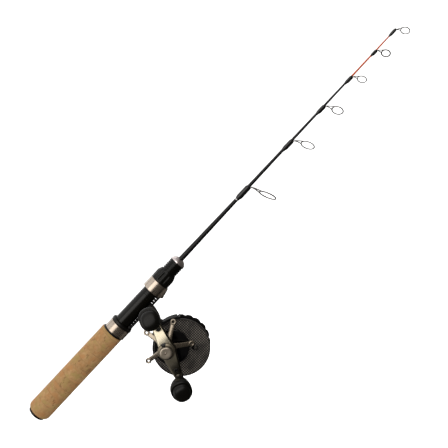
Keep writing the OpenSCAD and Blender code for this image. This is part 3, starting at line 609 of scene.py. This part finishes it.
def hood_radius(drop, half_w, corner, r0):
    """Outer radius by angle of a ring with a rounded pocket below it."""
    def radius(a):
        dy, dz = math.cos(a), math.sin(a)
        best = r0
        if dz < 0:
            lo, hi = r0, drop + half_w
            for _ in range(26):
                mid = (lo + hi) / 2
                y, z = abs(dy * mid), -dz * mid
                qy, qz = y - (half_w - corner), z - (drop - corner)
                inside = y <= half_w and z <= drop and not (
                    qy > 0 and qz > 0 and qy * qy + qz * qz > corner * corner)
                lo, hi = (mid, hi) if inside else (lo, mid)
            best = max(r0, lo)
        return best
    return radius


def hood(name, x0, x1, outer, bore, edge, body, material, node, slope=None, lean=0.0):
    """A hood: rounded edges, a straight bore, and an optional sloping pocket floor."""
    n, middle = 144, 14
    radii = [outer(2 * math.pi * j / n) for j in range(n)]
    for _ in range(2):
        radii = [(radii[j - 1] + 2 * radii[j] + radii[(j + 1) % n]) / 4 for j in range(n)]
    stations = [(x0, 1.0)]
    for i in range(1, 7):
        t = math.radians(15 * i)
        stations.append((x0 + edge * (1 - math.cos(t)), 1 - math.sin(t)))
    stations += [(x0 + edge + (x1 - x0 - 2 * edge) * i / middle, 0.0)
                 for i in range(1, middle)]
    for i in range(6, 0, -1):
        t = math.radians(15 * i)
        stations.append((x1 - edge * (1 - math.cos(t)), 1 - math.sin(t)))
    stations.append((x1, 1.0))
    rings = []
    for j in range(n):
        a = 2 * math.pi * j / n
        ring = []
        for x, inset in stations:
            r = radii[j] - inset * edge
            if slope is not None and math.sin(a) < 0:
                limit = slope(x) / max(1e-6, -math.sin(a))
                r = max(min(r, limit), min(r, HOOD_R - inset * edge))
            z = r * math.sin(a)
            back = lean * max(0.0, -z - 9.6) * (x1 - x) / (x1 - x0)
            ring.append(Vector((x + back, r * math.cos(a), z)))
        ring.append(Vector((x1, bore * math.cos(a), bore * math.sin(a))))
        ring.append(Vector((x0, bore * math.cos(a), bore * math.sin(a))))
        rings.append(ring)
    return piece(name, skin(rings, closed=True), body, material, [node])


hood("fixed_hood_shell", HOOD_X0, HOOD_X1, hood_radius(14.1, 6.6, 2.4, HOOD_R), BARREL_R,
     0.35, BODY, M["hood"], "fixed_hood")
hood("hood_rim", HOOD_X1, CUSHION_X1, hood_radius(14.4, 6.9, 2.6, 11.75), BARREL_R,
     1.7, BODY, M["cushion"], "hood_cushion")
hood("sliding_hood_shell", SLIDE_X0, SLIDE_X1, hood_radius(15.2, 6.9, 3.4, HOOD_R),
     BARREL_R + 0.05, 0.4, "hood", M["hood"], "sliding_hood",
     slope=lambda x: 15.2 - (x - SLIDE_X0) * 0.19, lean=0.45)


def barrel_radius(x, a):
    """The barrel's radius: plain, three fine rings, then a helical thread."""
    r = BARREL_R - 0.02
    for ring_x in BARREL_RING_X:
        r -= BARREL_RING_DEPTH * max(0.0, 1 - abs(x - ring_x - 0.25) / 0.4)
    if x > THREAD_X0:
        phase = ((x - THREAD_X0) / THREAD_PITCH - a / (2 * math.pi)) % 1.0
        d = abs(phase - 0.5) * 2
        groove = smooth(0.28, 0.75, 1 - d)
        fade = smooth(THREAD_X0, THREAD_X0 + 2, x) * (
            1 - smooth(THREAD_X1 - 1.6, THREAD_X1, x))
        r -= THREAD_DEPTH * groove * fade
    return r


barrel_x = [127 + 1.0 * i for i in range(57)] + [184 + 0.2 * i for i in range(1, 54)]
barrel_x += [194.6 + 0.16 * i for i in range(1, 252)] + [235.0]
piece("seat_tube", lathe_x(
    [(x, 1.0) for x in barrel_x] + [(SEAT_X1, 0.0), (CORK_X1, 0.0)], 72,
    lambda x, r, a: barrel_radius(x, a) if r else 6.2),
    BODY, M["barrel"], ["seat_barrel"], 50)


def nut_radius(x, r, a):
    """Wide soft flutes that run out before the nut's inner end."""
    if r < BARREL_R + 0.5:
        return r
    wave = 0.5 - 0.5 * math.cos(NUT_FLUTES * a)
    depth = FLUTE_DEPTH * smooth(NUT_X0 + 1.4, NUT_X0 + 3.4, x)
    room = smooth(BARREL_R + 0.6, BARREL_R + 1.6, r)
    return r - depth * room * wave ** 1.8


nut_line = soften([(NUT_X0, BARREL_R + 0.05), (NUT_X0, HOOD_R - 0.1),
                   (NUT_X0 + 10.2, HOOD_R), (NUT_X1 - 1.3, BARREL_R + 1.0),
                   (NUT_X1, BARREL_R + 0.6), (NUT_X1, BARREL_R + 0.05)], 0.8, 8)
dense = []
for p, q in zip(nut_line, nut_line[1:]):
    steps = max(1, int(abs(q[0] - p[0]) / 0.4))
    dense += [(p[0] + (q[0] - p[0]) * k / steps, p[1] + (q[1] - p[1]) * k / steps)
              for k in range(steps)]
piece("nut_body", lathe_x(dense + [nut_line[-1]], 240, nut_radius), "nut",
      M["nut"], ["lock_nut"])

piece("winding_cap", lathe_x(soften([
    (SEAT_X1, 3.2), (SEAT_X1, 9.0), (SEAT_X1 + 1.2, 8.95), (SEAT_X1 + 3.2, 7.7),
    (SEAT_X1 + 4.9, 5.8), (CHECK_X1, 3.9), (CHECK_X1, 3.2)], 0.9, 6), 96),
    BODY, M["check"], ["winding_check"])


# ---------------------------------------------------------------- guides
def ring_point(i, a, r=None):
    """A point of guide i's ring, at angle a in degrees from +Y towards its top."""
    a, lean, turn = math.radians(a), math.radians(RING_LEAN), math.radians(RING_TURN[i])
    p = Vector((-math.sin(a) * math.sin(lean), math.cos(a), math.sin(a) * math.cos(lean)))
    p = Vector((p.x * math.cos(turn) - p.y * math.sin(turn),
                p.x * math.sin(turn) + p.y * math.cos(turn), p.z))
    return Vector((RING_X[i], 0, -RING_DROP[i])) + p * (RING_R[i] if r is None else r)


def bezier(p0, p1, p2, p3, steps):
    out = []
    for k in range(steps + 1):
        t = k / steps
        out.append(p0 * (1 - t) ** 3 + p1 * 3 * t * (1 - t) ** 2 + p2 * 3 * t * t * (1 - t)
                   + p3 * t ** 3)
    return out


def foot_z(i):
    return -blank_radius(WRAP_X0[i]) - WIRE_R - 0.03


def guide(i):
    thick = WIRE_LOOK[i]
    parts = [tube([ring_point(i, a, RING_R[i] + WIRE_R - thick) for a in range(0, 360, 5)],
                  thick, 12, True)]
    z = foot_z(i)
    for side, shoulder in ((-1, 122), (1, 58)):
        start = Vector((WRAP_X0[i] + 3, side * 0.52, z))
        bend = Vector((WRAP_X1[i] + 0.2, side * 0.52, z))
        end = ring_point(i, shoulder)
        tangent = (ring_point(i, shoulder) - ring_point(i, shoulder + side * 6)).normalized()
        reach = (end - bend).length
        line = [start, start.lerp(bend, 0.5)] + bezier(
            bend, bend + Vector((0.16 * reach, 0, -0.02 * reach)),
            end - tangent * 0.16 * reach, end, 14)
        parts.append(tube(line, 0.9 * thick, 12))
    return join(parts)


for i in range(5):
    piece(f"guide_wire_{i + 1}", guide(i), BODY, M["wire"],
          [f"guide_frame_{i + 1}"])


def tip_top():
    thick = WIRE_LOOK[5]
    parts = [tube([ring_point(5, a, RING_R[5] + WIRE_R - thick) for a in range(0, 360, 6)],
                  thick, 12, True)]
    parts.append(lathe_x(soften([(589.2, 0.8), (589.2, 1.0), (598, 1.0), (598, 0.78)],
                                0.1) + [(597, 0.78)], 32))
    for side, shoulder in ((-1, 125), (1, 55)):
        start = Vector((594, side * 0.9, -0.95))
        bend = Vector((598, side * 0.7, -0.8))
        end = ring_point(5, shoulder)
        parts.append(tube([start] + bezier(bend, bend + Vector((0.8, 0, -0.2)),
                                           end.lerp(bend, 0.3), end, 8), 0.9 * thick, 10))
    return join(parts)


piece("tip_ring", tip_top(), BODY, M["wire"], ["tip_top"])


tip_line = [(586.6, 0.84), (586.9, 1.05), (588.6, 1.55), (591.0, 1.85), (595.4, 1.85),
            (597.4, 1.6), (598.4, 1.02)]
piece("tip_sleeve", lathe_x(soften(tip_line, 0.8, 4) + [(598.4, 1.0), (587.0, 0.82)], 40),
      BODY, M["wrap"])


def wrap(i):
    """A thread wrap under epoxy: round over the blank, bulging over the guide's foot."""
    x0, x1 = WRAP_X0[i], WRAP_X1[i]
    ramp = min(4.0, 0.28 * (x1 - x0))
    n, stations = 40, 36
    rings = []
    for s in range(stations + 1):
        t = s / stations
        x = x0 + (x1 - x0) * t
        start, end = smooth(x0, x0 + ramp, x), 1 - smooth(x1 - 0.6 * ramp, x1, x)
        cover = 0.06 + WRAP_COVER[i] * min(start, end)
        base = blank_radius(x) + cover
        low_r = 0.1 + 1.05 * smooth(x0 + 0.6, x0 + ramp + 1.5, x) * (0.55 + 0.45 * end)
        ring = []
        for j in range(n):
            a = 2 * math.pi * j / n
            d = Vector((0, math.cos(a), math.sin(a)))
            reach = base
            along = -d.z * -(foot_z(i) + 0.1)
            off = abs(d.y * -(foot_z(i) + 0.1))
            if d.z < 0 and off < low_r:
                bulge = along + math.sqrt(low_r ** 2 - off ** 2)
                reach = max(base, bulge)
            ring.append((x, d, reach))
        radii = [p[2] for p in ring]
        for _ in range(3):
            radii = [max(radii[j], (radii[j - 1] + radii[(j + 1) % n]) / 2)
                     for j in range(n)]
        rings.append([Vector((x, 0, 0)) + ring[j][1] * radii[j] for j in range(n)])
    return skin(rings)


for i in range(5):
    piece(f"epoxy_wrap_{i + 1}", wrap(i), BODY, M["wrap"],
          [f"thread_wrap_{i + 1}"], 60)


# ---------------------------------------------------------------- reel
piece("cover_shell", join([
    lathe_reel(COVER_C, soften([(18.45, 10.0), (20.4, 10.0), (20.4, 11.0), (19.8, 11.0),
                                (19.8, 17.0), (0.002, 17.0)], 0.9, 8)
               + [(0.002, 15.6), (18.45, 15.6)], 128),
    lathe_reel(CRANK_C, soften([(6.6, 16.9), (9.0, 16.9), (9.0, 19.5), (6.6, 19.5)],
                               0.5, 5), 72)]),
      BODY, M["cover"], ["gear_cover"])


def rim_radius(r, f, a):
    """Scallops round the palming rim."""
    if r < 31:
        return r
    wave = 0.5 + 0.5 * math.cos(RIM_LOBES * a)
    return r - LOBE_DEPTH * wave ** 3 * smooth(31, 32.4, r)


piece("rim_wheel", lathe_reel(SPOOL_C, soften([
    (17.0, -6.0), (RIM_R - 0.6, -6.0), (RIM_R, -6.6), (RIM_R, -10.0), (RIM_R - 0.6, -10.6),
    (27.4, -10.6),
    (27.4, -7.6), (17.0, -7.6), (17.0, -6.0)], 0.5, 4), 408, rim_radius),
    "spool", M["rim"], ["palming_rim"])


def star():
    """The star drag: a hub and arms that lean back, each ending in a small loop."""
    hub_r, root_f, tip_f, reach = 7.6, 24.2, 18.4, 26.96
    parts = [lathe_reel(CRANK_C, soften([
        (3.05, 20.6), (6.6, 20.6), (7.6, 21.8), (7.6, 26.0), (6.4, 27.0), (3.05, 27.0),
        (3.05, 20.6)], 0.5, 4), 72)]
    for k in range(STAR_ARMS):
        turn = math.radians(STAR_ANGLE + 360 / STAR_ARMS * k)
        ux, uy = math.cos(turn), math.sin(turn)

        def put(along, side, f, ux=ux, uy=uy):
            return at_reel(CRANK_C, along * ux - side * uy, along * uy + side * ux, f)

        rings = []
        for s in range(21):
            t = s / 20
            along = 5.8 + (reach - 2.9 - 5.8) * t
            f = root_f + 0.5 + (tip_f - root_f - 0.1) * t ** 1.15
            half_w = 3.4 - 0.7 * smooth(0.0, 0.5, t)
            half_t = 1.25 - 0.25 * t
            ring = []
            for j in range(16):
                a = 2 * math.pi * j / 16
                c, sn = math.cos(a), math.sin(a)
                ring.append(put(along, half_w * math.copysign(abs(c) ** 0.7, c),
                                f + half_t * math.copysign(abs(sn) ** 0.7, sn)))
            rings.append(ring)
        parts.append(skin(rings))
        slope = (tip_f - root_f) / (reach - hub_r)
        loop = []
        for j in range(36):
            a = 2 * math.pi * j / 36
            along, side = 2.4 * math.cos(a), 2.25 * math.sin(a)
            loop.append(put(reach + along, side, tip_f + slope * along))
        parts.append(tube(loop, 1.2, 12, True))
    return join(parts)


piece("star_wheel", star(), "star", M["star"], ["star_drag"])


def arm():
    """The bowed double arm: a plan that narrows to round ends, with rounded edges."""
    turn = math.radians(ARM_ANGLE)
    end_r, hub_half, edge, hub_shift = 4.7, 8.9, 0.4, -2.0
    hub_round, roll_wide, roll_deep = 9.3, 2.4, 2.0
    span = ARM_REACH + end_r
    steps = 120
    stations = [-span * math.cos(math.pi * i / steps) for i in range(steps + 1)]
    rings = []
    for s in stations:
        out = abs(s)
        half = hub_half - (hub_half - end_r) * out / ARM_REACH
        half = max(half, math.sqrt(max(0.0, hub_round ** 2 - out * out)))
        if out > ARM_REACH:
            half = math.sqrt(max(0.0004, end_r ** 2 - (out - ARM_REACH) ** 2))
        half = max(half, 0.03)
        shift = hub_shift * (1 - min(1.0, out / ARM_REACH))
        top = ARM_F1 - BOW_R + math.sqrt(BOW_R ** 2 - s * s)
        e = min(edge, half * 0.9)
        wide, deep = min(roll_wide, half * 0.5), roll_deep
        section = []
        for cx, cf, a0, ex, ef in ((half - wide, top - deep, 0, wide, deep),
                                   (-half + wide, top - deep, 90, wide, deep),
                                   (-half + e, top - ARM_THICK + e, 180, e, e),
                                   (half - e, top - ARM_THICK + e, 270, e, e)):
            for k in range(7):
                a = math.radians(a0 + 90 * k / 6)
                section.append((cx + shift + ex * math.cos(a), cf + ef * math.sin(a)))
        rings.append([at_reel(CRANK_C, s * math.cos(turn) - w * math.sin(turn),
                              s * math.sin(turn) + w * math.cos(turn), f)
                      for w, f in section])
    return skin(rings)


blade = piece("crank_blade", arm(), "crank", M["arm"], ["crank_arm"])
# The blade's faces that turn away from the light take a darker metal: painted shade on that
# side of the arm.
blade.data.materials.append(M["arm_painted_shade"])
shaded_side = Vector((math.sin(math.radians(ARM_ANGLE)), 0, -math.cos(math.radians(ARM_ANGLE))))
for face in blade.data.polygons:
    if face.normal.dot(shaded_side) > SHADED_SIDE_DOT:
        face.material_index = 1


def along_arm(side, x, y, f):
    turn = math.radians(ARM_ANGLE + side)
    return at_reel(CRANK_C, x * math.cos(turn) - y * math.sin(turn),
                   x * math.sin(turn) + y * math.cos(turn), f)


def arm_screws():
    """One rivet on each half of the arm, square to the bowed face."""
    parts = []
    for side in (0, 180):
        s = RIVET_REACH
        top = ARM_F1 - BOW_R + math.sqrt(BOW_R ** 2 - s * s)
        tilt = math.asin(s / BOW_R)
        profile = soften([(0.002, 0.35), (0.9, 0.35), (0.9, 1.0), (2.2, 1.0), (2.6, 0.3),
                          (2.6, -2.7), (0.002, -2.7)], 0.35, 4)
        off = -1.0 if side == 0 else 1.0
        rings = []
        for j in range(48):
            a = 2 * math.pi * j / 48
            ring = []
            for r, h in profile:
                lx, ly = r * math.cos(a), r * math.sin(a) + off
                ring.append(along_arm(side, s + lx * math.cos(tilt) + h * math.sin(tilt),
                                      ly, top + h * math.cos(tilt) - lx * math.sin(tilt)))
            rings.append(ring)
        parts.append(skin(rings, closed=True))
    return join(parts)


def in_slot(a):
    """True at the angles of the two slots in the ring under the cap."""
    return any(abs((math.degrees(a) - centre + 180) % 360 - 180) < SLOT_HALF
               for centre in SLOT_ANGLES)


def slotted(r, f, a):
    """The nut ring's radius, cut back in the slots."""
    return SLOT_R if r > SLOT_R and f > SLOT_F and in_slot(a) else r


piece("nut_cap", lathe_reel(CRANK_C, soften([
    (0.002, 48.6), (6.5, 48.6), (6.5, 49.9), (6.0, 50.7), (5.2, 51.0), (1.35, 51.0),
    (1.25, 50.5)], 0.4, 5) + [(1.0, 50.5), (0.6, 50.9), (0.002, 51.0)], 96),
      "crank", M["crank_cap"], ["crank_nut"])
piece("nut_dot", lathe_reel(CRANK_C, soften([(0.002, 50.2), (1.2, 50.2), (1.2, 50.8),
                                             (0.8, 51.0), (0.002, 51.0)], 0.2, 3), 32),
      "crank", M["hood"])
nut_ring = piece("nut_ring", lathe_reel(CRANK_C, soften([
    (0.002, 42.0), (9.3, 42.0), (9.3, 43.4), (8.7, 44.4), (6.7, 45.2), (6.5, 46.0),
    (6.5, 48.7), (0.002, 48.7)], 0.3, 4), 180, slotted), "crank", M["nut_ring"])
# The slot faces take the dark collar finish: painted shade in the slots.
nut_ring.data.materials.append(M["collar"])
for face in nut_ring.data.polygons:
    x, y = face.center.x / MM - CRANK_C[0], face.center.z / MM - CRANK_C[1]
    if -face.center.y / MM > SLOT_F - 0.5 and math.hypot(x, y) > SLOT_R - 0.8 \
            and in_slot(math.atan2(y, x)):
        face.material_index = 1
piece("arm_rivets", arm_screws(), "crank", M["collar"])


def knob(side):
    """A paddle knob: a narrow neck, a wide soft body, a groove, and a domed face."""
    tilt = math.radians(KNOB_TILT)
    turned = 1.0 if side == 0 else -1.2
    # height, half length, half width, shift of the section towards the crank's axis
    sections = [
        (1.6, 3.9, 3.7, 0.0), (2.3, 4.5, 4.2, 0.0), (4.2, 5.2, 4.9, 0.0),
        (7.2, 6.8, 6.2, 0.0), (10.6, 8.8, 7.9, 0.0), (14.2, 10.7, 9.6, 0.0),
        (18.0, 12.1, 10.8, 0.0), (21.2, 12.6, 11.3, 0.0), (23.2, 12.4, 11.2, 0.1),
        (24.4, 12.0, 10.9, 0.3), (25.0, 11.5, 10.5, 0.6), (24.4, 10.7, 9.8, 1.2),
        (25.1, 10.2, 9.4, 1.5), (26.4, 9.8, 9.0, 1.7), (28.0, 8.8, 8.2, 1.8),
        (29.4, 6.8, 6.4, 1.9), (30.0, 4.0, 3.8, 1.9), (30.2, 1.2, 1.1, 1.9)]
    n = 56
    rings = []
    for h, hl, hw, shift in sections:
        ring = []
        for j in range(n):
            a = 2 * math.pi * j / n
            c, s = math.cos(a), math.sin(a)
            lx = hl * math.copysign(abs(c) ** 0.86, c) - turned * shift
            ly = hw * math.copysign(abs(s) ** 0.86, s)
            ring.append(along_arm(side, ARM_REACH + lx * math.cos(tilt) + h * math.sin(tilt),
                                  ly, ARM_END_F + h * math.cos(tilt) - lx * math.sin(tilt)))
        rings.append(ring)
    return skin(rings)


for number, side in ((1, 0), (2, 180)):
    grip = piece(f"paddle_{number}", knob(side), f"knob_{('one', 'two')[number - 1]}",
                 M["knob"], [f"knob_{number}"], 180)
    soft = grip.modifiers.new("soft", "SUBSURF")
    soft.levels = soft.render_levels = 2

# ---------------------------------------------------------------- floor and light
FLOOR_Z = -0.175
bpy.ops.mesh.primitive_circle_add(vertices=96, radius=4.0, fill_type="NGON",
                                  location=(0.3, 0, FLOOR_Z))
floor = bpy.context.object
floor.name = "floor"
floor_look = plain("floor_white", rgb(250, 250, 250), rgb(255, 255, 255), 0.9, 40, bump=0.02)
floor_bsdf = floor_look.node_tree.nodes["Principled BSDF"]
floor_bsdf.inputs["Emission Color"].default_value = (1, 1, 1, 1)
floor_bsdf.inputs["Emission Strength"].default_value = 0.95
floor.data.materials.append(floor_look)
floor.visible_glossy = False
floor.visible_diffuse = False

world = bpy.data.worlds.new("studio")
bpy.context.scene.world = world
world.use_nodes = True
wt = world.node_tree
wt.nodes.clear()
out = wt.nodes.new("ShaderNodeOutputWorld")
path = wt.nodes.new("ShaderNodeLightPath")
white = wt.nodes.new("ShaderNodeBackground")
white.inputs[0].default_value = (1, 1, 1, 1)
white.inputs[1].default_value = 1.15
room = wt.nodes.new("ShaderNodeBackground")
direction = wt.nodes.new("ShaderNodeTexCoord")
split = wt.nodes.new("ShaderNodeSeparateXYZ")
ramp = wt.nodes.new("ShaderNodeValToRGB")
remap = wt.nodes.new("ShaderNodeMapRange")
remap.inputs["From Min"].default_value = -1
wt.links.new(direction.outputs["Generated"], split.inputs[0])
wt.links.new(split.outputs[2], remap.inputs[0])
wt.links.new(remap.outputs[0], ramp.inputs[0])
for e, (pos, v) in zip([ramp.color_ramp.elements[0], ramp.color_ramp.elements[1],
                        ramp.color_ramp.elements.new(0.5)],
                       [(0.0, 0.07), (1.0, 0.31), (0.5, 0.165)]):
    e.position = pos
    e.color = (v, v * 0.96, v * 0.90, 1)
even = wt.nodes.new("ShaderNodeMix")
even.data_type = "RGBA"
even.inputs[7].default_value = (0.48, 0.475, 0.465, 1)
wt.links.new(path.outputs["Is Diffuse Ray"], even.inputs[0])
wt.links.new(ramp.outputs[0], even.inputs[6])
wt.links.new(even.outputs[2], room.inputs[0])
chooser = wt.nodes.new("ShaderNodeMixShader")
wt.links.new(path.outputs["Is Camera Ray"], chooser.inputs[0])
wt.links.new(room.outputs[0], chooser.inputs[1])
wt.links.new(white.outputs[0], chooser.inputs[2])
wt.links.new(chooser.outputs[0], out.inputs[0])


def softbox(name, azimuth, elevation, distance, size, power, tint=(1, 1, 1)):
    """An area light that looks at the middle of the rod."""
    a, e = math.radians(azimuth), math.radians(elevation)
    way = Vector((math.sin(a) * math.cos(e), -math.cos(a) * math.cos(e), math.sin(e)))
    data = bpy.data.lights.new(name, "AREA")
    data.shape = "RECTANGLE"
    data.size, data.size_y = size
    data.energy = power
    data.color = tint
    light = bpy.data.objects.new(name, data)
    target = Vector((0.3, 0, -0.01))
    light.location = target + way * distance
    light.rotation_euler = way.to_track_quat("Z", "Y").to_euler()
    bpy.context.scene.collection.objects.link(light)
    return light


KEY_ELEVATION, KEY_SIZE = 29, (3.2, 1.25)
softbox("key", 0, KEY_ELEVATION, 1.6, KEY_SIZE, 12, (1.0, 0.975, 0.945))
sheen = softbox("key_sheen", 0, KEY_ELEVATION, 1.62, KEY_SIZE, 16, (1.0, 0.96, 0.91))
sheen.visible_diffuse = False
softbox("top", 0, 84, 1.6, (3.0, 1.2), 4, (1.0, 0.98, 0.95))
softbox("rear", 180, 40, 1.8, (3.0, 1.0), 9)
softbox("left", -100, 20, 1.8, (1.2, 1.2), 4)

bpy.context.scene.view_settings.view_transform = "Standard"
bpy.context.scene.view_settings.look = "None"
